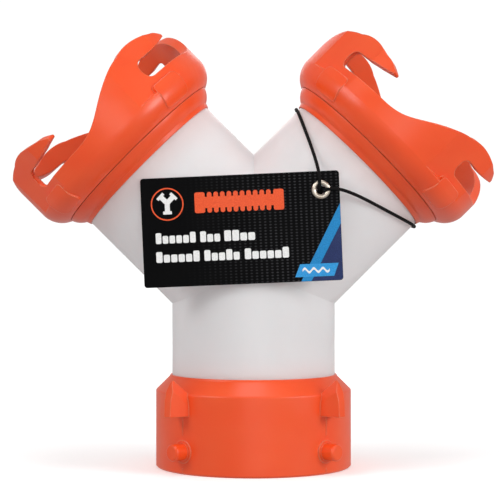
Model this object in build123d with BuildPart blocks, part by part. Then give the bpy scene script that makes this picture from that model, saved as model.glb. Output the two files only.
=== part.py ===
from build123d import *
from math import cos, pi, radians, sin, tan
import os

os.makedirs("parts", exist_ok=True)

# Wye sewer hose fitting: a translucent Y-shaped body with a lug collar on its stem,
# a swivelling four-claw bayonet ring on each arm, and a hang tag tied to one arm.
# Millimetres, +Z up. The origin is the centre of the lug collar's open end.
# X runs across both arms, -Y is the front, where the hang tag lies.

# ------------------------------------------------------------- driving dimensions
# Body: three equal tubes whose axes meet at the junction
tube_r = 42.9
tube_wall = 2.8
bore_r = tube_r - tube_wall
junction_z = 103.4
arm_lean = 45
arm_end = 97.4

# Lug collar on the stem
collar_r = 51.4
collar_h = 48.4
shoulder_z = 40.4
outlet_r = 46.8
socket_z = 28.0
stop_z = 25.6
rim_chamfer = 0.8
shoulder_round = 1.2
collar_lip_r = 44.3
lug_count = 4
lug_r = 4.35
lug_reach = 59.5
lug_round = 1.3
lug_foot_r = 5.8
lug_foot_rise = 0.35
lug_z = 11.6
fin_z = 29.7
fin_reach = 62.3
fin_tip_r = 58.4
fin_strip = 4.4
line_gap = 4.0
line_w = 0.5

# Along each arm, measured from the junction
retainer_low = 77.6
retainer_top = 86.0
ring_low = 86.2
lip_top = 90.2
seat_low = 90.6
seat_lip_top = 99.2
gasket_top = 100.8
bore_low = 101.2
low_rim = 105.0
facet_low = 97.2
claw_top = 125.9

# Bayonet ring, radii
ring_r = 58.0
ring_bore_r = 53.2
ring_skirt_r = 50.4
ring_pocket_r = 52.4
lip_bore_r = 43.3
seat_r = 51.8
gasket_r = 50.6
rib_w = 3.6
rib_rise = 1.2
retainer_r = 49.6
retainer_foot_r = 43.6
retainer_waist = (44.4, 79.9)
retainer_belly = (47.6, 82.5)
claw_count = 4
slot_roof = 115.7
slot_round = 4.2
tip_round = 0.9
# The ring's round lower side passes through the belly; a grip pad lies below each slot
ring_liner_r = 55.6
ring_belly = (55.7, 90.7)
pad_w = 18.0
pad_h = 13.5
pad_round = 2.6
pad_middle = 94.3
pad_r = 58.1
pad_low_r = 51.6
pad_belly = (56.6, 90.7)
# Angles round the ring from a claw's tip
wing_foot = -82
facet_start = -46
slot_end = -29.5
facet_end = -14
left_turn = 63.5
right_turn = 69.5

# Hang tag, eyelet and cord
card_w = 99.8
card_h = 54.9
card_t = 0.8
card_corner = 1.6
card_roll = 2.45
card_yaw = 3.0
eyelet_at = (33.1, -48.0, 144.1)
eyelet_inset = 9.25
eyelet_r = 4.75
eyelet_barrel_r = 2.8
eyelet_hole_r = 2.35
eyelet_proud = 0.7
washer_r = 4.4
washer_t = 0.45
cord_d = 1.7
knot_r = 2.7
knot_t = 3.4
knot_back = 1.15


# ------------------------------------------------------------- places and helpers
def arm_plane(side, turn=0.0):
    """Plane at the junction whose normal runs out along an arm.

    side is -1 for the left arm and +1 for the right one. x points to the front,
    and turn swings it about the arm, anticlockwise seen from the open end.
    """
    along = Vector(side * sin(radians(arm_lean)), 0, cos(radians(arm_lean)))
    front = Vector(0, -1, 0)
    x_dir = front * cos(radians(turn)) + along.cross(front) * sin(radians(turn))
    return Plane(origin=(0, 0, junction_z), x_dir=x_dir, z_dir=along)


def tag_plane():
    """Plane of the card's middle: origin in the eyelet, x to the right, y up."""
    level = Vector(cos(radians(card_yaw)), -sin(radians(card_yaw)), 0)
    up = Vector(0, 0, 1)
    x_dir = level * cos(radians(card_roll)) + up * sin(radians(card_roll))
    return Plane(origin=eyelet_at, x_dir=x_dir, z_dir=level.cross(up))


def polar(radius, angle):
    """Point at a radius and an angle in degrees."""
    return (radius * cos(radians(angle)), radius * sin(radians(angle)))


# ------------------------------------------------------------- wye body
tubes = [(Plane.XY.offset(socket_z), junction_z - socket_z)]
for side in (-1, 1):
    tubes.append((arm_plane(side), arm_end))

with BuildPart() as wye_body:
    for plane, length in tubes:
        with BuildSketch(plane):
            Circle(tube_r)
        extrude(amount=length)
    for plane, length in tubes:
        with BuildSketch(plane):
            Circle(bore_r)
        extrude(amount=length, mode=Mode.SUBTRACT)
wye_body.part.label = "wye_body"
export_step(wye_body.part, "parts/wye_body.step")


# ------------------------------------------------------------- lug collar
def stop_fin():
    """Pointed fin above a lug, at angle zero: flat below, its ridge falls inwards."""
    half = lug_r
    with BuildPart() as fin:
        with BuildSketch(Plane.XZ):
            with BuildLine():
                Polyline(
                    (outlet_r + 1, fin_z),
                    (fin_reach, fin_z),
                    (fin_reach - 0.4, fin_z + 8),
                    (fin_tip_r + 1.2, collar_h - 1.8),
                    (fin_tip_r, collar_h),
                    (collar_r - 0.5, shoulder_z + 1.2),
                    (outlet_r + 1, shoulder_z - 2),
                    close=True,
                )
            make_face()
        extrude(amount=half, both=True)
        with BuildSketch(Plane.XY.offset(fin_z)):
            with BuildLine():
                Polyline(
                    (outlet_r, -half),
                    (collar_r, -half),
                    (fin_reach, -fin_strip / 2),
                    (fin_reach, fin_strip / 2),
                    (collar_r, half),
                    (outlet_r, half),
                    close=True,
                )
            make_face()
        extrude(amount=collar_h - fin_z, mode=Mode.INTERSECT)
        with BuildSketch(Plane.YZ.offset(outlet_r)):
            with BuildLine():
                Line((-half, fin_z), (half, fin_z))
                Line((half, fin_z), (half, fin_z + 2))
                ThreePointArc((half, fin_z + 2), (half - 1.4, fin_z + 11.5), (0, collar_h))
                ThreePointArc((0, collar_h), (1.4 - half, fin_z + 11.5), (-half, fin_z + 2))
                Line((-half, fin_z + 2), (-half, fin_z))
            make_face()
        extrude(amount=fin_reach - outlet_r, mode=Mode.INTERSECT)
    return fin.part


fin_part = stop_fin()

with BuildPart() as outlet_lug_collar:
    with BuildSketch(Plane.XZ):
        with BuildLine():
            Polyline(
                (outlet_r, 0),
                (collar_r - rim_chamfer, 0),
                (collar_r, rim_chamfer),
                (collar_r, shoulder_z),
                (collar_lip_r, collar_h - 1),
                (collar_lip_r - 0.5, collar_h),
                (tube_r, collar_h),
                (tube_r, socket_z),
                (bore_r, socket_z),
                (bore_r, stop_z),
                (outlet_r, stop_z),
                close=True,
            )
        make_face()
    revolve(axis=Axis.Z)
    fillet(outlet_lug_collar.edges().filter_by(GeomType.CIRCLE).group_by(Axis.Z)[-3], shoulder_round)
    # Lugs that a bayonet ring hooks over, each with a fin and a fine mould line
    for step in range(lug_count):
        angle = 45 + step * 360 / lug_count
        lug_plane = Plane(origin=(0, 0, lug_z), z_dir=(*polar(1, angle), 0)).offset(outlet_r + 1)
        with BuildSketch(lug_plane):
            Circle(lug_r)
        extrude(amount=lug_reach - outlet_r - 1)
        with BuildSketch(lug_plane):
            Circle(lug_foot_r)
        extrude(amount=collar_r + lug_foot_rise - outlet_r - 1)
    lug_ends = [
        edge
        for edge in outlet_lug_collar.edges().filter_by(GeomType.CIRCLE)
        if abs(edge.radius - lug_r) < 0.01 and edge.center().length > collar_r + 5
    ]
    fillet(lug_ends, lug_round)
    with PolarLocations(0, lug_count, start_angle=45):
        add(fin_part)
    with PolarLocations(collar_r, lug_count, start_angle=45):
        with Locations((0, 0, (lug_z + lug_r + line_gap + fin_z) / 2)):
            Box(line_w, line_w, fin_z - lug_z - lug_r - line_gap)
        with Locations((0, 0, (lug_z - lug_r - line_gap + rim_chamfer) / 2)):
            Box(line_w, line_w, lug_z - lug_r - line_gap - rim_chamfer)
outlet_lug_collar.part.label = "outlet_lug_collar"
export_step(outlet_lug_collar.part, "parts/outlet_lug_collar.step")


# ------------------------------------------------------------- bayonet ring
def facing_plane(angle):
    """Upright plane on the ring's axis that faces an angle; y is along the axis."""
    return Plane(origin=(0, 0, 0), x_dir=(*polar(1, angle + 90), 0), z_dir=(*polar(1, angle), 0))


def claw_stock():
    """Low rim, wings and hooks as they are cut, before the wall is hollowed.

    Angle zero is a claw's tip. A wing rises from the low rim to the slot's end and
    a hook goes on from there to the tip. Each is cut square to its own middle.
    """
    wing_middle = -54
    hook_middle = -14

    def wing(angle, height):
        return (ring_r * sin(radians(angle - wing_middle)), height)

    def hook(angle, height):
        return (ring_r * sin(radians(angle - hook_middle)), height)

    with BuildPart() as stock:
        with Locations((0, 0, facet_low)):
            Cylinder(ring_r + 4, low_rim - facet_low, align=(Align.CENTER, Align.CENTER, Align.MIN))
        for step in range(claw_count):
            turn = step * 360 / claw_count
            with BuildSketch(facing_plane(wing_middle + turn).offset(20)):
                with BuildLine():
                    Spline(
                        wing(wing_foot, low_rim),
                        wing(-72, low_rim + 1.9),
                        wing(-61, low_rim + 8.0),
                        wing(-50, low_rim + 14.3),
                        wing(-40, low_rim + 18.3),
                        wing(-32, low_rim + 20.0),
                        tangents=((1, 0.03), (1, 0.25)),
                    )
                    Polyline(
                        wing(-32, low_rim + 20.0),
                        wing(-32, facet_low),
                        wing(wing_foot, facet_low),
                        wing(wing_foot, low_rim),
                    )
                make_face()
            extrude(amount=45)
            roof_start = hook(slot_end, 0)[0] + slot_round
            with BuildSketch(facing_plane(hook_middle + turn).offset(20)):
                with BuildLine():
                    Spline(
                        hook(-38, low_rim + 16.9),
                        hook(-32, low_rim + 20.0),
                        hook(-26, low_rim + 20.9),
                        hook(-18, low_rim + 20.2),
                        hook(-9, low_rim + 17.9),
                        hook(0, low_rim + 14.2),
                        tangents=((1, 0.9), (1, -0.62)),
                    )
                    Polyline(
                        hook(0, low_rim + 14.2),
                        hook(-0.6, slot_roof + 2.3),
                        hook(-8, slot_roof + 0.9),
                        hook(-16, slot_roof),
                        (roof_start, slot_roof),
                    )
                    RadiusArc(
                        (roof_start, slot_roof),
                        hook(slot_end, slot_roof - slot_round),
                        -slot_round,
                    )
                    Line(hook(slot_end, slot_roof - slot_round), hook(slot_end, low_rim + slot_round))
                    RadiusArc(
                        hook(slot_end, low_rim + slot_round),
                        (roof_start, low_rim),
                        -slot_round,
                    )
                    Polyline(
                        (roof_start, low_rim),
                        (roof_start, facet_low),
                        hook(-38, facet_low),
                        hook(-38, low_rim + 16.9),
                    )
                make_face()
                fillet(vertices().sort_by(Axis.X)[-1], tip_round)
            extrude(amount=45)
    return stock.part


def grip_pad():
    """Raised block below a slot, at angle zero, that follows the ring's rounded side."""
    with BuildPart() as pad:
        with BuildSketch(Plane.YZ.offset(ring_pocket_r)):
            with Locations((0, pad_middle)):
                RectangleRounded(pad_w, pad_h, pad_round)
        extrude(amount=10)
        with BuildSketch(Plane.XZ):
            with BuildLine():
                Polyline(
                    (pad_r, facet_low - 0.7),
                    (pad_r - 0.8, low_rim),
                    (ring_pocket_r, low_rim),
                    (ring_pocket_r, ring_low + 1),
                    (pad_low_r - 4, ring_low + 1),
                    (pad_low_r - 4, ring_low),
                    (pad_low_r, ring_low),
                )
                ThreePointArc((pad_low_r, ring_low), pad_belly, (pad_r, facet_low - 0.7))
            make_face()
        revolve(axis=Axis.Z, mode=Mode.INTERSECT)
    return pad.part


def bayonet_ring(stock, pad):
    """Ring with its claws, on Z, with heights from the junction."""
    with BuildPart() as ring:
        with BuildSketch(Plane.XY.offset(facet_low)):
            with BuildLine():
                for step in range(claw_count):
                    turn = step * 360 / claw_count
                    Line(polar(ring_r, turn + facet_start), polar(ring_r, turn + facet_end))
                    ThreePointArc(
                        polar(ring_r, turn + facet_end),
                        polar(ring_r, turn + 20),
                        polar(ring_r, turn + 90 + facet_start),
                    )
            make_face()
            Circle(ring_bore_r, mode=Mode.SUBTRACT)
        extrude(amount=claw_top - facet_low + 1)
        add(stock, mode=Mode.INTERSECT)
        # Round lower body with its inward lip
        with BuildSketch(Plane.XZ):
            with BuildLine():
                Polyline(
                    (ring_skirt_r, ring_low),
                    (lip_bore_r, ring_low),
                    (lip_bore_r, lip_top),
                    (ring_pocket_r, lip_top),
                    (ring_pocket_r, bore_low),
                    (ring_bore_r, bore_low),
                    (ring_bore_r, bore_low + 1),
                    (ring_liner_r, bore_low + 1),
                    (ring_liner_r, facet_low + 1.2),
                    (ring_r, facet_low),
                )
                ThreePointArc((ring_r, facet_low), ring_belly, (ring_skirt_r, ring_low))
            make_face()
        revolve(axis=Axis.Z)
        with PolarLocations(0, claw_count, start_angle=(slot_end + facet_end) / 2 - 3):
            add(pad)
    return ring.part


# ------------------------------------------------------------- on each arm
def arm_pieces():
    """Pieces that sit round an arm, on Z, with heights from the junction."""
    with BuildPart() as retainer:
        with BuildSketch(Plane.XZ):
            with BuildLine():
                Polyline(
                    (retainer_r, retainer_top),
                    (tube_r, retainer_top),
                    (tube_r, retainer_low),
                    (retainer_foot_r, retainer_low),
                    retainer_waist,
                )
                ThreePointArc(retainer_waist, retainer_belly, (retainer_r, retainer_top))
            make_face()
        revolve(axis=Axis.Z)
    with BuildPart() as seat:
        with BuildSketch(Plane.XZ):
            with BuildLine():
                Polyline(
                    (tube_r, seat_low),
                    (seat_r, seat_low),
                    (seat_r, seat_lip_top),
                    (gasket_r, seat_lip_top),
                    (gasket_r, arm_end),
                    (tube_r, arm_end),
                    close=True,
                )
            make_face()
        revolve(axis=Axis.Z)
    # Flat gasket with two round ribs on its face
    gasket_bore = bore_r + 0.6
    rib_base = gasket_top - rib_rise
    with BuildPart() as gasket:
        with BuildSketch(Plane.XZ):
            with BuildLine():
                Polyline(
                    (gasket_bore, rib_base),
                    (gasket_bore, arm_end),
                    (gasket_r, arm_end),
                    (gasket_r, rib_base),
                )
                ThreePointArc(
                    (gasket_r, rib_base),
                    (gasket_r - rib_w / 2, gasket_top),
                    (gasket_r - rib_w, rib_base),
                )
                Line((gasket_r - rib_w, rib_base), (gasket_bore + rib_w, rib_base))
                ThreePointArc(
                    (gasket_bore + rib_w, rib_base),
                    (gasket_bore + rib_w / 2, gasket_top),
                    (gasket_bore, rib_base),
                )
            make_face()
        revolve(axis=Axis.Z)
    return {
        "retaining_collar": retainer.part,
        "seal_seat": seat.part,
        "face_gasket": gasket.part,
    }


ring_part = bayonet_ring(claw_stock(), grip_pad())
for name, side, turn in (("left", -1, left_turn), ("right", 1, right_turn)):
    for kind, shape in {"bayonet_ring": ring_part, **arm_pieces()}.items():
        with BuildPart(arm_plane(side, turn)) as piece:
            add(shape)
        piece.part.label = f"{name}_{kind}"
        export_step(piece.part, f"parts/{name}_{kind}.step")


# ------------------------------------------------------------- hang tag
card = tag_plane()
card_middle = (eyelet_inset - card_w / 2, eyelet_inset - card_h / 2)

with BuildPart() as hang_tag:
    with BuildSketch(card.offset(-card_t / 2)):
        with Locations(card_middle):
            RectangleRounded(card_w, card_h, card_corner)
        Circle(eyelet_barrel_r, mode=Mode.SUBTRACT)
    extrude(amount=card_t)
hang_tag.part.label = "hang_tag"
export_step(hang_tag.part, "parts/hang_tag.step")

# Eyelet: rolled front flange with its barrel through the card
with BuildPart(card) as tag_eyelet:
    with BuildSketch(Plane(card.origin, x_dir=card.x_dir, z_dir=-card.y_dir)):
        with BuildLine():
            Polyline(
                (eyelet_hole_r, -card_t / 2 - washer_t),
                (eyelet_barrel_r, -card_t / 2 - washer_t),
                (eyelet_barrel_r, card_t / 2),
                (eyelet_r, card_t / 2),
            )
            ThreePointArc(
                (eyelet_r, card_t / 2),
                ((eyelet_r + eyelet_hole_r) / 2 + 0.2, card_t / 2 + eyelet_proud),
                (eyelet_hole_r, card_t / 2 - 0.2),
            )
            Line((eyelet_hole_r, card_t / 2 - 0.2), (eyelet_hole_r, -card_t / 2 - washer_t))
        make_face()
    revolve(axis=Axis(card.origin, card.z_dir))
tag_eyelet.part.label = "tag_eyelet"
export_step(tag_eyelet.part, "parts/tag_eyelet.step")

with BuildPart() as tag_washer:
    with BuildSketch(card.offset(-card_t / 2)):
        Circle(washer_r)
        Circle(eyelet_barrel_r, mode=Mode.SUBTRACT)
    extrude(amount=-washer_t)
tag_washer.part.label = "tag_washer"
export_step(tag_washer.part, "parts/tag_washer.step")


# ------------------------------------------------------------- cord
def on_tag(across, up, out):
    """Point given on the card, from the eyelet's centre."""
    return card.from_local_coords(Vector(across, up, out))


def on_arm(height, angle, radius):
    """Point round the right arm; angle zero faces the front, positive is below."""
    return arm_plane(1).from_local_coords(Vector(*polar(radius, angle), height))


# The tight cord starts in the knot, comes forward through the eyelet, crosses the
# card's top edge, goes round the back of the arm against the retaining collar and
# comes back over the card's right edge into the eyelet and the knot.
cord_route = [
    on_tag(-0.7, 0.3, -2.6),
    on_tag(-0.7, 0.3, 2.3),
    on_tag(-0.4, 10.8, 2.0),
    on_arm(75.0, -67, 47.4),
    on_arm(76.5, -112, 47.6),
    on_arm(76.4, -157, 47.7),
    on_arm(76.4, 158, 47.7),
    on_arm(76.5, 113, 47.7),
    on_arm(76.0, 75, 45.9),
    on_arm(71.2, 45, 45.9),
    on_tag(11.2, 0.3, 2.0),
    on_tag(0.9, -0.2, 2.3),
    on_tag(0.9, -0.2, -2.6),
]


def corner_radii(points, tight):
    """Arc for each corner: 0.45 of the shorter run over the tangent of half the turn."""
    radii = []
    for before, corner, after in zip(points, points[1:], points[2:]):
        run_in = corner - before
        run_out = after - corner
        half_turn = radians(run_in.get_angle(run_out) / 2)
        radii.append(0.45 * min(run_in.length, run_out.length) / tan(half_turn))
    for place, radius in tight.items():
        radii[place] = min(radii[place], radius)
    return radii


# The folds at the eyelet and over the card's edges are as tight as the card is thin
cord_radii = corner_radii(cord_route, {0: 2.1, 1: 4.0, 9: 4.0, 10: 2.1})
print("cord radii", [round(radius, 1) for radius in cord_radii])

with BuildPart() as tag_cord:
    with BuildLine():
        path = FilletPolyline(*cord_route, radius=cord_radii)
    with BuildSketch(Plane(path @ 0, z_dir=path % 0)):
        Circle(cord_d / 2)
    sweep()
cord_volume = pi * cord_d**2 / 4 * path.length
print("cord length", round(path.length, 1), "volume", round(tag_cord.part.volume / cord_volume, 3))
tag_cord.part.label = "tag_cord"
export_step(tag_cord.part, "parts/tag_cord.step")

knot_middle = card.offset(-card_t / 2 - knot_back - knot_t / 2)
with BuildPart() as cord_knot:
    with BuildSketch(Plane(knot_middle.origin, x_dir=card.x_dir, z_dir=-card.y_dir)):
        with BuildLine():
            Polyline((0.6, -knot_t / 2), (0, -knot_t / 2), (0, knot_t / 2), (0.6, knot_t / 2))
            ThreePointArc((0.6, knot_t / 2), (knot_r, 0), (0.6, -knot_t / 2))
        make_face()
    revolve(axis=Axis(card.origin, card.z_dir))
cord_knot.part.label = "cord_knot"
export_step(cord_knot.part, "parts/cord_knot.step")
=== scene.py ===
import math

import bmesh
import bpy
from mathutils import Matrix, Vector


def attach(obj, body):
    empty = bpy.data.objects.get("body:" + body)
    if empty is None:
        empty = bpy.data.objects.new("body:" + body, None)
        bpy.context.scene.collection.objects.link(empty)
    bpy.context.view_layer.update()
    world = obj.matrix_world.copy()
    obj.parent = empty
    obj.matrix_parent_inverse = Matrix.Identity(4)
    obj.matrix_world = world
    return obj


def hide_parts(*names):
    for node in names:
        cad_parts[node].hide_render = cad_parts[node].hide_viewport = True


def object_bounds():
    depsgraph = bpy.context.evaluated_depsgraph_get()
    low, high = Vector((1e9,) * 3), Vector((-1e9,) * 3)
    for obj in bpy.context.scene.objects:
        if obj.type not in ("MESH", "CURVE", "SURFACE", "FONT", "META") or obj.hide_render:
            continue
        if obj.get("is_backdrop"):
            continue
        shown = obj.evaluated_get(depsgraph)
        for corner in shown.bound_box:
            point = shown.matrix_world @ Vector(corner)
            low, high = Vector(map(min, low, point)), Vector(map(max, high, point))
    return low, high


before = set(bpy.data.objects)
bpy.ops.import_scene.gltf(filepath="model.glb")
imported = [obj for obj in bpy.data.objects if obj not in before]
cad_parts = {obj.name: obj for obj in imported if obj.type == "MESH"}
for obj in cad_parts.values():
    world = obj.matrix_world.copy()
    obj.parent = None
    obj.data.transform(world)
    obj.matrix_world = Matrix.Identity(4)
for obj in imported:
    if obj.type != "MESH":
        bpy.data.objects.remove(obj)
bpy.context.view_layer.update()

MM = 0.001
FULL_TURN = 2 * math.pi

# ---------------------------------------------------------------- camera
CAMERA_PLACE = (-0.012, -0.880, 0.115)
CAMERA_TILT, CAMERA_TURN = math.radians(89.92), math.radians(-0.66)
LENS, SENSOR = 119.88, 36

camera_data = bpy.data.cameras.new("camera")
camera_data.lens = LENS
camera_data.sensor_width = SENSOR
camera = bpy.data.objects.new("camera", camera_data)
camera.location = CAMERA_PLACE
camera.rotation_euler = (CAMERA_TILT, 0, CAMERA_TURN)
bpy.context.scene.collection.objects.link(camera)
bpy.context.scene.camera = camera
bpy.context.scene.view_settings.view_transform = "Standard"

# ---------------------------------------------------------------- places
# Card: origin in the eyelet's centre, x to the right, y up, z out of the print
UP = Vector((0, 0, 1))
EYELET = Vector((0.0331, -0.0480, 0.1441))
YAW, ROLL = math.radians(3.0), math.radians(2.45)
LEVEL = Vector((math.cos(YAW), -math.sin(YAW), 0))
CARD_X = LEVEL * math.cos(ROLL) + UP * math.sin(ROLL)
CARD_Z = LEVEL.cross(UP)
CARD_Y = CARD_Z.cross(CARD_X)
CARD = Matrix.Translation(EYELET) @ Matrix((CARD_X, CARD_Y, CARD_Z)).transposed().to_4x4()
# Its edges and faces, in millimetres from the eyelet
CARD_LEFT, CARD_TOP = -90.55, 9.25
CARD_FACE, CARD_BACK = 0.4, -0.4

# Right arm: junction of the three tubes' axes, and the arm's own directions
JUNCTION_HEIGHT = 0.1034
JUNCTION = Vector((0, 0, JUNCTION_HEIGHT))
ARM = Vector((1, 0, 1)).normalized()
ARM_COSINE = 0.7071
FRONT = Vector((0, -1, 0))
SIDE = ARM.cross(FRONT)


def on_tag(across, up, out):
    """Point in the shared frame from millimetres on the card."""
    return CARD @ (Vector((across, up, out)) * MM)


def on_arm(height, angle, radius):
    """Point in the shared frame from millimetres along the right arm, degrees round it."""
    turn = math.radians(angle)
    outward = FRONT * math.cos(turn) + SIDE * math.sin(turn)
    return JUNCTION + MM * (ARM * height + radius * outward)


# ---------------------------------------------------------------- node helpers
class Nodes:
    """A material's node tree, with the few node kinds the scene uses."""

    def __init__(self, name):
        self.material = bpy.data.materials.new(name)
        self.material.use_nodes = True
        self.tree = self.material.node_tree
        self.shader = self.tree.nodes["Principled BSDF"]
        self.place = self.coordinates("Object")

    def add(self, kind, settings=None, **inputs):
        """A node with its settings; inputs go by name, or by number as i0, i1 and so on."""
        node = self.tree.nodes.new(kind)
        for key, value in (settings or {}).items():
            setattr(node, key, value)
        for key, value in inputs.items():
            name = int(key[1:]) if key[1:].isdigit() else key.replace("_", " ")
            self.put(node.inputs[name], value)
        return node

    def put(self, socket, value):
        """Link an output to the socket, or set a number or colour on it."""
        if isinstance(value, bpy.types.NodeSocket):
            self.tree.links.new(value, socket)
        else:
            socket.default_value = value

    def coordinates(self, kind):
        return self.add("ShaderNodeTexCoord").outputs[kind]

    def apart(self, vector):
        return self.add("ShaderNodeSeparateXYZ", Vector=vector).outputs

    def stretched(self, x, y, z):
        return self.add("ShaderNodeMapping", Vector=self.place, Scale=(x, y, z)).outputs[0]

    def math(self, operation, a, b=0.0):
        return self.add("ShaderNodeMath", {"operation": operation}, i0=a, i1=b).outputs[0]

    def times(self, a, b):
        return self.math("MULTIPLY", a, b)

    def plus(self, a, b):
        return self.math("ADD", a, b)

    def minus(self, a, b):
        return self.math("SUBTRACT", a, b)

    def dot(self, a, b):
        node = self.add("ShaderNodeVectorMath", {"operation": "DOT_PRODUCT"}, i0=a, i1=b)
        return node.outputs["Value"]

    def noise(self, scale, detail=3.0, rough=0.5, place=None):
        return self.add(
            "ShaderNodeTexNoise",
            Vector=place or self.place, Scale=scale, Detail=detail, Roughness=rough,
        ).outputs["Fac"]

    def spread(self, value, low, high, to_low=0.0, to_high=1.0):
        """value from low..high carried smoothly to to_low..to_high."""
        return self.add(
            "ShaderNodeMapRange", {"interpolation_type": "SMOOTHSTEP"},
            i0=value, i1=low, i2=high, i3=to_low, i4=to_high,
        ).outputs[0]

    def wander(self, noise, low, high):
        """A noise, which lies mostly between 0.3 and 0.7, carried to low..high."""
        return self.spread(noise, 0.3, 0.7, low, high)

    def mix(self, factor, a, b):
        node = self.add("ShaderNodeMix", {"data_type": "RGBA"})
        self.put(node.inputs[0], factor)
        self.put(node.inputs[6], a)
        self.put(node.inputs[7], b)
        return node.outputs[2]

    def bump(self, height, strength, distance, normal=None):
        node = self.add("ShaderNodeBump", Height=height, Strength=strength, Distance=distance)
        if normal is not None:
            self.put(node.inputs["Normal"], normal)
        return node.outputs[0]

    def edges(self, radius, low, high):
        """A mask that is 1 on edges and 0 on open surfaces, and the normal rounded at edges."""
        bevel = self.add("ShaderNodeBevel", {"samples": 6}, Radius=radius).outputs[0]
        true = self.add("ShaderNodeNewGeometry").outputs["Normal"]
        return self.spread(self.minus(1.0, self.dot(bevel, true)), low, high), bevel

    def finish(self, colour, roughness, normal=None, **constants):
        """Link the shader, and set its constants on its own sockets."""
        self.put(self.shader.inputs["Base Color"], colour)
        self.put(self.shader.inputs["Roughness"], roughness)
        if normal is not None:
            self.put(self.shader.inputs["Normal"], normal)
        for key, value in constants.items():
            self.shader.inputs[key.replace("_", " ")].default_value = value
        return self.material


def rgb(red, green, blue):
    return (red, green, blue, 1.0)


def grey(value):
    return rgb(value, value, value)


# ---------------------------------------------------------------- materials
# Heights and lengths in metres between which the painted orange bounce light (a pink tint
# standing in for light from the orange parts) comes or goes
PAINTED_BOUNCE_OVER_COLLAR = (0.040, 0.062)
PAINTED_BOUNCE_UNDER_RING = (0.060, 0.079)
ARMS_BEGIN = (0.10, 0.115)
# Size of the card's printed lozenges, and where they fade out to the left, in metres
LOZENGE_WIDE, LOZENGE_TALL = 0.0026, 0.0015
MESH_FADE = (-0.075, -0.015)
# Plaits along the whole cord and round it
PLAITS_ALONG, PLAITS_ROUND = 190, 5


def milky_plastic():
    """Natural, cloudy polyethylene: faint flow clouds, and painted orange bounce light, a pink
    tint beside the orange parts.
    """
    n = Nodes("milky_plastic")
    clouds = n.noise(22.0, detail=4.0, rough=0.55)
    flow = n.noise(60.0, place=n.stretched(1.0, 1.0, 0.22))
    milk = n.mix(clouds, rgb(0.82, 0.790, 0.800), rgb(0.87, 0.842, 0.852))
    milk = n.mix(n.times(flow, 0.18), milk, rgb(0.79, 0.745, 0.755))
    x, _, z = n.apart(n.place)
    along = n.times(n.plus(n.math("ABSOLUTE", x), n.minus(z, JUNCTION_HEIGHT)), ARM_COSINE)
    # Painted bounce light: a pink tint above the outlet collar and under each ring, where light
    # from the orange parts would fall
    painted_orange_bounce = n.math(
        "MAXIMUM",
        n.spread(z, *PAINTED_BOUNCE_OVER_COLLAR, 1.0, 0.0),
        n.times(n.spread(along, *PAINTED_BOUNCE_UNDER_RING), n.spread(z, *ARMS_BEGIN)),
    )
    colour = n.mix(n.times(painted_orange_bounce, 0.50), milk, rgb(0.88, 0.60, 0.57))
    grain = n.noise(700.0, detail=2.0, rough=0.6)
    ripple = n.noise(55.0, detail=2.0, rough=0.4)
    skin = n.bump(grain, strength=0.05, distance=0.0003)
    normal = n.bump(ripple, strength=0.16, distance=0.0012, normal=skin)
    return n.finish(
        colour, n.wander(n.noise(38.0), 0.30, 0.44), normal,
        Subsurface_Weight=0.70, Subsurface_Radius=(1.0, 0.85, 0.84), Subsurface_Scale=0.014,
        IOR=1.5, Specular_IOR_Level=0.42,
    )


def orange_plastic():
    """Moulded orange polypropylene: pigment drift, painted pale highlights along the edges,
    orange-peel skin.
    """
    n = Nodes("orange_plastic")
    drift = n.noise(30.0, detail=2.0, rough=0.45)
    colour = n.mix(drift, rgb(0.82, 0.066, 0.008), rgb(0.93, 0.092, 0.013))
    streaks = n.noise(90.0, detail=1.0, rough=0.4, place=n.stretched(0.35, 1.0, 1.0))
    colour = n.mix(n.spread(streaks, 0.25, 0.85, 0.0, 0.16), colour, rgb(0.93, 0.150, 0.040))
    edge, bevel = n.edges(0.0009, 0.03, 0.22)
    # Painted highlight: the edges are lightened towards pale pink, in uneven patches, standing
    # in for the light they catch
    painted_edge_highlight = n.times(edge, n.spread(n.noise(160.0), 0.25, 0.65, 0.35, 0.80))
    colour = n.mix(painted_edge_highlight, colour, rgb(0.93, 0.28, 0.15))
    peel = n.noise(420.0, detail=1.0, rough=0.4)
    sink = n.noise(70.0, detail=2.0, rough=0.4)
    skin = n.bump(peel, strength=0.08, distance=0.0003, normal=bevel)
    normal = n.bump(sink, strength=0.14, distance=0.0010, normal=skin)
    return n.finish(
        colour, n.wander(n.noise(48.0, detail=2.0), 0.30, 0.42), normal,
        Subsurface_Weight=0.16, Subsurface_Radius=(1.0, 0.22, 0.08), Subsurface_Scale=0.0025,
        IOR=1.5, Specular_IOR_Level=0.5,
    )


def seal_rubber():
    """Matt black seal rubber with fine dust and moulding skin."""
    n = Nodes("seal_rubber")
    dust = n.spread(n.noise(260.0, detail=4.0, rough=0.6), 0.45, 0.75)
    colour = n.mix(dust, rgb(0.018, 0.018, 0.019), rgb(0.050, 0.048, 0.046))
    normal = n.bump(n.noise(900.0, rough=0.6), strength=0.25, distance=0.0003)
    return n.finish(colour, n.wander(n.noise(70.0), 0.55, 0.78), normal, IOR=1.52)


def card_place(n):
    """Coordinates on the card in metres: right, up and out from the eyelet."""
    node = n.add("ShaderNodeMapping", {"vector_type": "TEXTURE"}, Vector=n.place)
    node.inputs["Location"].default_value = EYELET
    node.inputs["Rotation"].default_value = CARD.to_euler()
    return node.outputs[0]


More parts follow.
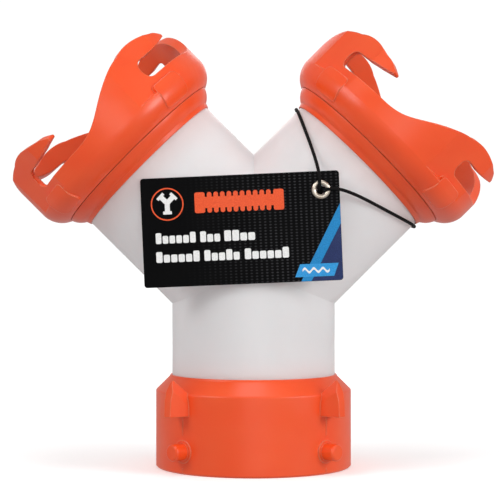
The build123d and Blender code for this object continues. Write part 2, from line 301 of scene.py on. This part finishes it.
def printed_card():
    """Black coated card: a printed mesh of lozenges that fades to the left, pale paper core."""
    n = Nodes("printed_card")
    x, y, _ = n.apart(card_place(n))
    right = n.times(x, math.pi / LOZENGE_WIDE)
    up = n.times(y, math.pi / LOZENGE_TALL)
    lozenge = n.times(
        n.math("COSINE", n.plus(right, up)), n.math("COSINE", n.minus(right, up))
    )
    uneven = (0.25, 0.65, 0.55, 1.0)
    fade = n.times(n.spread(x, *MESH_FADE), n.spread(n.noise(60.0, detail=2.0), *uneven))
    mesh = n.times(n.spread(lozenge, 0.25, 0.80), fade)
    black = n.mix(
        n.noise(900.0, detail=2.0), rgb(0.0008, 0.0008, 0.0010), rgb(0.0022, 0.0022, 0.0026)
    )
    black = n.mix(mesh, black, rgb(0.034, 0.034, 0.037))
    facing = n.dot(n.coordinates("Normal"), CARD_Z)
    core = n.mix(n.noise(1600.0, rough=0.7), rgb(0.40, 0.37, 0.33), rgb(0.62, 0.59, 0.54))
    on_side = n.spread(n.math("ABSOLUTE", facing), 0.45, 0.60, 1.0, 0.0)
    fibres = n.noise(1300.0, rough=0.6, place=n.stretched(1.0, 1.0, 0.4))
    normal = n.bump(n.plus(mesh, n.times(fibres, 0.5)), strength=0.12, distance=0.00010)
    rough = n.plus(n.wander(n.noise(45.0), 0.34, 0.46), n.times(on_side, 0.4))
    return n.finish(
        n.mix(on_side, black, core), rough, normal, IOR=1.45, Specular_IOR_Level=0.05
    )


def ink(name, low, high):
    """Printed ink: halftone grain and slight unevenness over its colour."""
    n = Nodes(name)
    grain = n.noise(2200.0, detail=2.0, rough=0.6)
    colour = n.mix(n.spread(grain, 0.35, 0.70), rgb(*low), rgb(*high))
    thin = n.spread(n.noise(120.0, detail=2.0), 0.40, 0.80, 0.0, 0.20)
    colour = n.mix(thin, colour, rgb(*low))
    rough = n.wander(n.noise(80.0), 0.36, 0.48)
    normal = n.bump(grain, strength=0.08, distance=0.00005)
    return n.finish(colour, rough, normal, IOR=1.45, Specular_IOR_Level=0.30)


def eyelet_metal():
    """Nickel-plated brass: turned rings, a warm tint where the plate is thin, dark tarnish."""
    n = Nodes("eyelet_metal")
    x, y, _ = n.apart(card_place(n))
    out = n.math("SQRT", n.plus(n.times(x, x), n.times(y, y)))
    turned = n.add("ShaderNodeCombineXYZ", X=n.times(out, 9000.0)).outputs[0]
    rings = n.noise(1.0, detail=2.0, rough=0.6, place=turned)
    colour = n.mix(n.noise(420.0), rgb(0.52, 0.43, 0.33), rgb(0.74, 0.68, 0.60))
    spots = n.spread(n.noise(1400.0, detail=2.0), 0.60, 0.72, 0.0, 0.6)
    colour = n.mix(spots, colour, rgb(0.20, 0.15, 0.10))
    rough = n.wander(rings, 0.20, 0.38)
    normal = n.bump(rings, strength=0.30, distance=0.00008)
    return n.finish(colour, rough, normal, Metallic=1.0)


def elastic_cord():
    """Braided black elastic: two sets of crossing plaits along the cord, with a faint fuzz."""
    n = Nodes("elastic_cord")
    u, v, _ = n.apart(n.coordinates("UV"))
    run = n.times(u, FULL_TURN * PLAITS_ALONG)
    turn = n.times(v, FULL_TURN * PLAITS_ROUND)
    plait = n.math(
        "MAXIMUM", n.math("SINE", n.plus(run, turn)), n.math("SINE", n.minus(run, turn))
    )
    fuzz = n.noise(3200.0, rough=0.7)
    colour = n.mix(n.spread(plait, 0.0, 0.9), grey(0.0008), rgb(0.0060, 0.0060, 0.0065))
    colour = n.mix(n.times(fuzz, 0.35), colour, rgb(0.010, 0.010, 0.011))
    normal = n.bump(n.plus(plait, n.times(fuzz, 0.5)), strength=0.7, distance=0.00012)
    return n.finish(colour, n.wander(fuzz, 0.60, 0.82), normal, Specular_IOR_Level=0.12)


def studio_floor():
    """Pale seamless paper with barely visible fibre, lit a little more away from the object."""
    n = Nodes("studio_floor")
    colour = n.mix(n.noise(9.0), grey(0.86), grey(0.89))
    away = n.add("ShaderNodeVectorMath", {"operation": "LENGTH"}, i0=n.place).outputs["Value"]
    n.put(n.shader.inputs["Emission Strength"], n.spread(away, 0.10, 1.40, 0.31, 0.74))
    rough = n.wander(n.noise(14.0), 0.75, 0.85)
    normal = n.bump(n.noise(400.0, detail=2.0), strength=0.05, distance=0.0003)
    return n.finish(
        colour, rough, normal, Specular_IOR_Level=0.10, Emission_Color=grey(1.0)
    )


def studio_backdrop():
    """Evenly lit white sweep round the studio."""
    n = Nodes("studio_backdrop")
    return n.finish(
        grey(0.0), 1.0,
        Specular_IOR_Level=0.0, Emission_Color=grey(1.0), Emission_Strength=1.05,
    )


ORANGE = orange_plastic()
MILKY = milky_plastic()
PRINTED = printed_card()
METAL = eyelet_metal()
RUBBER = seal_rubber()
CARRIED = {
    "wye_body": MILKY,
    "left_seal_seat": MILKY,
    "right_seal_seat": MILKY,
    "outlet_lug_collar": ORANGE,
    "left_bayonet_ring": ORANGE,
    "right_bayonet_ring": ORANGE,
    "left_retaining_collar": ORANGE,
    "right_retaining_collar": ORANGE,
    "left_face_gasket": RUBBER,
    "right_face_gasket": RUBBER,
    "hang_tag": PRINTED,
    "tag_eyelet": METAL,
    "tag_washer": METAL,
}
for node, material in CARRIED.items():
    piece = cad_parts[node]
    piece.data.materials.clear()
    piece.data.materials.append(material)


# ---------------------------------------------------------------- cord and knot
# From the knot through the eyelet, up over the card's head, round the back of the arm
# beside the retaining collar, and over the card's right edge back into the eyelet
CORD_ROUTE = [
    on_tag(-0.7, 0.3, -2.6),
    on_tag(-0.7, 0.3, 2.3),
    on_tag(-0.4, 10.8, 2.0),
    on_arm(75.0, -67, 47.4),
    on_arm(76.5, -112, 47.6),
    on_arm(76.4, -157, 47.7),
    on_arm(76.4, 158, 47.7),
    on_arm(76.5, 113, 47.7),
    on_arm(76.0, 75, 45.9),
    on_arm(71.2, 45, 45.9),
    on_tag(11.2, 0.3, 2.0),
    on_tag(0.9, -0.2, 2.3),
    on_tag(0.9, -0.2, -2.6),
]
CORD_RADIUS = 0.00085
CORD = elastic_cord()

# Overhand knot behind the eyelet: a trefoil that stays inside the knot's CAD solid (mm)
KNOT_BEHIND_CARD, KNOT_HALF_THICK = 1.15, 1.7
KNOT_MIDDLE = CARD_BACK - KNOT_BEHIND_CARD - KNOT_HALF_THICK
KNOT_STEPS = 24
KNOT_REACH, KNOT_LOOP, KNOT_DEPTH = 1.25, 0.62, 0.80
KNOT_CORD_RADIUS = 0.00070


def cord_spline(name, points, radius, cyclic=False):
    """A round cord on one NURBS spline whose control points are the route's points."""
    data = bpy.data.curves.new(name, "CURVE")
    data.dimensions = "3D"
    data.resolution_u = 24
    data.bevel_depth = radius
    data.bevel_resolution = 5
    data.use_fill_caps = not cyclic
    spline = data.splines.new("NURBS")
    spline.points.add(len(points) - 1)
    for point, place in zip(spline.points, points):
        point.co = (*place, 1.0)
    spline.use_cyclic_u = cyclic
    spline.order_u = 3
    spline.use_endpoint_u = not cyclic
    data.materials.append(CORD)
    made = bpy.data.objects.new(name, data)
    bpy.context.scene.collection.objects.link(made)
    return made


cord = cord_spline("braided_cord", CORD_ROUTE, CORD_RADIUS)
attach(cord, "fitting")
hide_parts("tag_cord")

knot_route = []
for step in range(KNOT_STEPS):
    turn = FULL_TURN * step / KNOT_STEPS
    reach = KNOT_REACH + KNOT_LOOP * math.cos(3 * turn)
    knot_route.append(on_tag(
        reach * math.cos(2 * turn), reach * math.sin(2 * turn),
        KNOT_MIDDLE + KNOT_DEPTH * math.sin(3 * turn),
    ))
knot = cord_spline("cord_end_knot", knot_route, KNOT_CORD_RADIUS, cyclic=True)
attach(knot, "fitting")
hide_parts("cord_knot")


# ---------------------------------------------------------------- print on the card
# Everything here is in millimetres. Films lie one over another, so they rise in this order
FILM_ROOT = 0.02
FILM_UNDER, FILM, FILM_CUFF, FILM_LABEL, FILM_WAVE = 0.022, 0.030, 0.036, 0.040, 0.050
CORNER_STEPS = 4


def rounded(left, top, right, bottom, radius):
    """Corner points of a rounded rectangle, from the card's top left."""
    points = []
    for cx, cy, start in (
        (right - radius, top + radius, -90), (right - radius, bottom - radius, 0),
        (left + radius, bottom - radius, 90), (left + radius, top + radius, 180),
    ):
        for part in range(CORNER_STEPS + 1):
            turn = math.radians(start + 90 / CORNER_STEPS * part)
            points.append((cx + radius * math.cos(turn), cy + radius * math.sin(turn)))
    return points


def printed(name, outlines, material, film=FILM):
    """Closed films of ink on the card's front, from outlines measured from its top left."""
    mesh = bmesh.new()
    for outline in outlines:
        low, high = [], []
        for across, down in outline:
            x, y = CARD_LEFT + across, CARD_TOP - down
            low.append(mesh.verts.new(on_tag(x, y, CARD_FACE - FILM_ROOT)))
            high.append(mesh.verts.new(on_tag(x, y, CARD_FACE + film)))
        mesh.faces.new(high)
        mesh.faces.new(list(reversed(low)))
        for i in range(len(low)):
            j = (i + 1) % len(low)
            mesh.faces.new((low[i], low[j], high[j], high[i]))
    bmesh.ops.recalc_face_normals(mesh, faces=mesh.faces)
    bmesh.ops.triangulate(mesh, faces=mesh.faces)
    data = bpy.data.meshes.new(name)
    mesh.to_mesh(data)
    mesh.free()
    data.materials.append(material)
    piece = bpy.data.objects.new(name, data)
    bpy.context.scene.collection.objects.link(piece)
    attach(piece, "tag")


ORANGE_INK = ink("orange_ink", (0.74, 0.075, 0.018), (0.90, 0.120, 0.030))
WHITE_INK = ink("white_ink", (0.74, 0.74, 0.73), (0.90, 0.90, 0.89))
BLUE_INK = ink("blue_ink", (0.004, 0.190, 0.460), (0.010, 0.260, 0.600))
SKY_INK = ink("sky_ink", (0.018, 0.260, 0.600), (0.035, 0.350, 0.760))
NAVY_INK = ink("navy_ink", (0.008, 0.018, 0.085), (0.014, 0.030, 0.130))

# Corner stripe and dark corner, up to the print's right and lower edges
PRINT_RIGHT, PRINT_FOOT = 99.75, 54.85
printed("corner_stripe", [[
    (PRINT_RIGHT, 16.3), (PRINT_RIGHT, 26.4), (83.9, PRINT_FOOT), (78.7, PRINT_FOOT)
]], BLUE_INK)
printed("dark_corner", [[
    (PRINT_RIGHT, 26.5), (PRINT_RIGHT, 53.4), (99.3, 54.4), (98.2, PRINT_FOOT),
    (84.0, PRINT_FOOT),
]], NAVY_INK)

# Small slanted label over them, with a wave
LABEL_TOP, LABEL_FOOT = 46.2, 52.6
printed("corner_label", [[
    (78.5, LABEL_TOP), (97.8, LABEL_TOP), (95.3, LABEL_FOOT), (75.8, LABEL_FOOT)
]], SKY_INK, FILM_LABEL)
WAVE_LEFT, WAVE_LONG, WAVE_MIDDLE = 79.6, 13.6, 49.4
WAVE_RISE, WAVE_HALF_WIDE = 0.95, 0.62
WAVE_STEPS, WAVE_PERIODS = 32, 3
wave_top, wave_low = [], []
for step in range(WAVE_STEPS + 1):
    across = WAVE_LEFT + WAVE_LONG * step / WAVE_STEPS
    down = WAVE_MIDDLE - WAVE_RISE * math.sin(FULL_TURN * step / WAVE_STEPS * WAVE_PERIODS)
    wave_top.append((across, down - WAVE_HALF_WIDE))
    wave_low.append((across, down + WAVE_HALF_WIDE))
printed("label_wave", [wave_top + wave_low[::-1]], WHITE_INK, FILM_WAVE)

# Round badge with a branching pipe
BADGE_X, BADGE_Y = 13.2, 13.3
RING_PARTS = 72
RING_OUTER, RING_INNER = 8.25, 7.60
badge_ring = []
for step in range(RING_PARTS):
    a, b = (FULL_TURN * (step + k) / RING_PARTS for k in (0, 1))
    badge_ring.append([
        (BADGE_X + r * math.cos(t), BADGE_Y + r * math.sin(t))
        for r, t in ((RING_OUTER, a), (RING_OUTER, b), (RING_INNER, b), (RING_INNER, a))
    ])
printed("badge_ring", badge_ring, ORANGE_INK)

# The pipe is drawn round its own junction, which lies a little above the badge's middle
PIPE_LIFT = 0.6
HALF, REACH, FOOT = 1.25, 5.4, 5.6
SLANT = math.sqrt(0.5)
NECK, CROTCH = 0.414 * HALF, 1.414 * HALF
CUFF_HALF, CUFF_START = 2.2, 3.9


def on_badge(outline):
    return [(BADGE_X + x, BADGE_Y + y - PIPE_LIFT) for x, y in outline]


pipe = [
    (-HALF, FOOT), (HALF, FOOT), (HALF, NECK),
    (SLANT * (HALF + REACH), SLANT * (HALF - REACH)),
    (SLANT * (REACH - HALF), -SLANT * (REACH + HALF)),
    (0, -CROTCH),
    (-SLANT * (REACH - HALF), -SLANT * (REACH + HALF)),
    (-SLANT * (HALF + REACH), SLANT * (HALF - REACH)),
    (-HALF, NECK),
]
cuffs = [rounded(-CUFF_HALF, 4.1, CUFF_HALF, 5.7, 0.3)]
for side in (-1, 1):
    cuffs.append([
        (side * SLANT * (u + v), SLANT * (v - u))
        for u, v in (
            (CUFF_START, -CUFF_HALF), (CUFF_START, CUFF_HALF),
            (REACH, CUFF_HALF), (REACH, -CUFF_HALF),
        )
    ])
printed("badge_pipe", [on_badge(pipe)], WHITE_INK)
printed("badge_cuffs", [on_badge(cuff) for cuff in cuffs], WHITE_INK, FILM_CUFF)

# Corrugated hose drawn along the head of the card, with a wide cuff at each end
HOSE_TOP, HOSE_FOOT = 8.0, 18.4
FIRST_RIB, RIB_PITCH, RIB_WIDE, RIB_COUNT = 33.3, 3.3, 2.35, 10
hose = [rounded(left, HOSE_TOP, left + 5.2, HOSE_FOOT, 1.0) for left in (27.0, 66.6)]
for rib in range(RIB_COUNT):
    start = FIRST_RIB + RIB_PITCH * rib
    hose.append(rounded(start, HOSE_TOP, start + RIB_WIDE, HOSE_FOOT, 1.1))
printed("hose_drawing", hose, ORANGE_INK)
printed("hose_drawing_core", [rounded(31.0, 10.4, 68.0, 16.0, 0.6)], ORANGE_INK, FILM_UNDER)

# Two rows of blank bars where a label would name its contents: each row's foot line,
# and the left and right ends of its groups of bars
ROWS = {
    "upper_bars": (33.0, ((6.7, 26.8), (29.1, 39.1), (41.2, 56.6))),
    "lower_bars": (42.5, ((6.6, 28.4), (30.8, 48.5), (51.1, 73.2))),
}
BAR_PITCH, BAR_GAP, BAR_ROUND = 3.6, 0.6, 0.7
BAR_TALL, BAR_LOW = 5.4, 3.9
for name, (foot, groups) in ROWS.items():
    bars = []
    for left, right in groups:
        count = round((right - left) / BAR_PITCH)
        pitch = (right - left + BAR_GAP) / count
        for bar in range(count):
            start = left + pitch * bar
            tall = BAR_TALL if bar == 0 or (bar * 7 + count) % 5 == 1 else BAR_LOW
            bars.append(rounded(start, foot - tall, start + pitch - BAR_GAP, foot, BAR_ROUND))
    printed(name, bars, WHITE_INK)

# ---------------------------------------------------------------- studio
FLOOR_HALF, FLOOR_BELOW, DOME_RADIUS = 30, 0.0001, 24
# World light: its strength low down and high up, and the directions' heights between them
WORLD_FROM, WORLD_TO = (-0.7, 0.9), (0.56, 0.44)
# Square area lights: name, place, height aimed at, size, power
SOFTBOXES = (
    ("overhead", (0.0, -0.15, 1.30), 0.12, 0.55, 2.8),
    ("left_box", (-0.85, -0.60, 0.72), 0.12, 0.45, 4.4),
    ("right_box", (0.95, -0.66, 0.46), 0.12, 0.45, 6.0),
    ("front_box", (0.10, -1.50, 0.30), 0.12, 0.80, 3.4),
    ("rear", (0.0, 1.10, 0.70), 0.13, 0.7, 2.0),
)


def stage_object(name, mesh, material):
    """Part of the studio that the camera sees but that throws no light back on the object."""
    data = bpy.data.meshes.new(name)
    mesh.to_mesh(data)
    mesh.free()
    data.materials.append(material)
    made = bpy.data.objects.new(name, data)
    made.visible_diffuse = False
    made.visible_glossy = False
    bpy.context.scene.collection.objects.link(made)
    made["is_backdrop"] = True
    return made


floor_mesh = bmesh.new()
bmesh.ops.create_grid(floor_mesh, x_segments=8, y_segments=8, size=FLOOR_HALF)
floor = stage_object("floor", floor_mesh, studio_floor())
floor.location = (0, 0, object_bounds()[0].z - FLOOR_BELOW)
dome_mesh = bmesh.new()
bmesh.ops.create_icosphere(dome_mesh, subdivisions=4, radius=DOME_RADIUS)
dome = stage_object("backdrop", dome_mesh, studio_backdrop())
dome.visible_shadow = False

world = bpy.data.worlds.new("studio")
world.use_nodes = True
sky = world.node_tree.nodes
direction = sky.new("ShaderNodeSeparateXYZ")
level = sky.new("ShaderNodeMapRange")
level.inputs["From Min"].default_value, level.inputs["From Max"].default_value = WORLD_FROM
level.inputs["To Min"].default_value, level.inputs["To Max"].default_value = WORLD_TO
generated = sky.new("ShaderNodeTexCoord")
world.node_tree.links.new(generated.outputs["Generated"], direction.inputs[0])
world.node_tree.links.new(direction.outputs["Z"], level.inputs["Value"])
world.node_tree.links.new(level.outputs[0], sky["Background"].inputs["Strength"])
sky["Background"].inputs["Color"].default_value = grey(1.0)
bpy.context.scene.world = world

for name, place, aim_height, size, power in SOFTBOXES:
    light = bpy.data.lights.new(name, "AREA")
    light.shape = "SQUARE"
    light.size = size
    light.energy = power
    softbox = bpy.data.objects.new(name, light)
    softbox.location = place
    aim = Vector((0, 0, aim_height)) - Vector(place)
    softbox.rotation_euler = aim.to_track_quat("-Z", "Y").to_euler()
    bpy.context.scene.collection.objects.link(softbox)
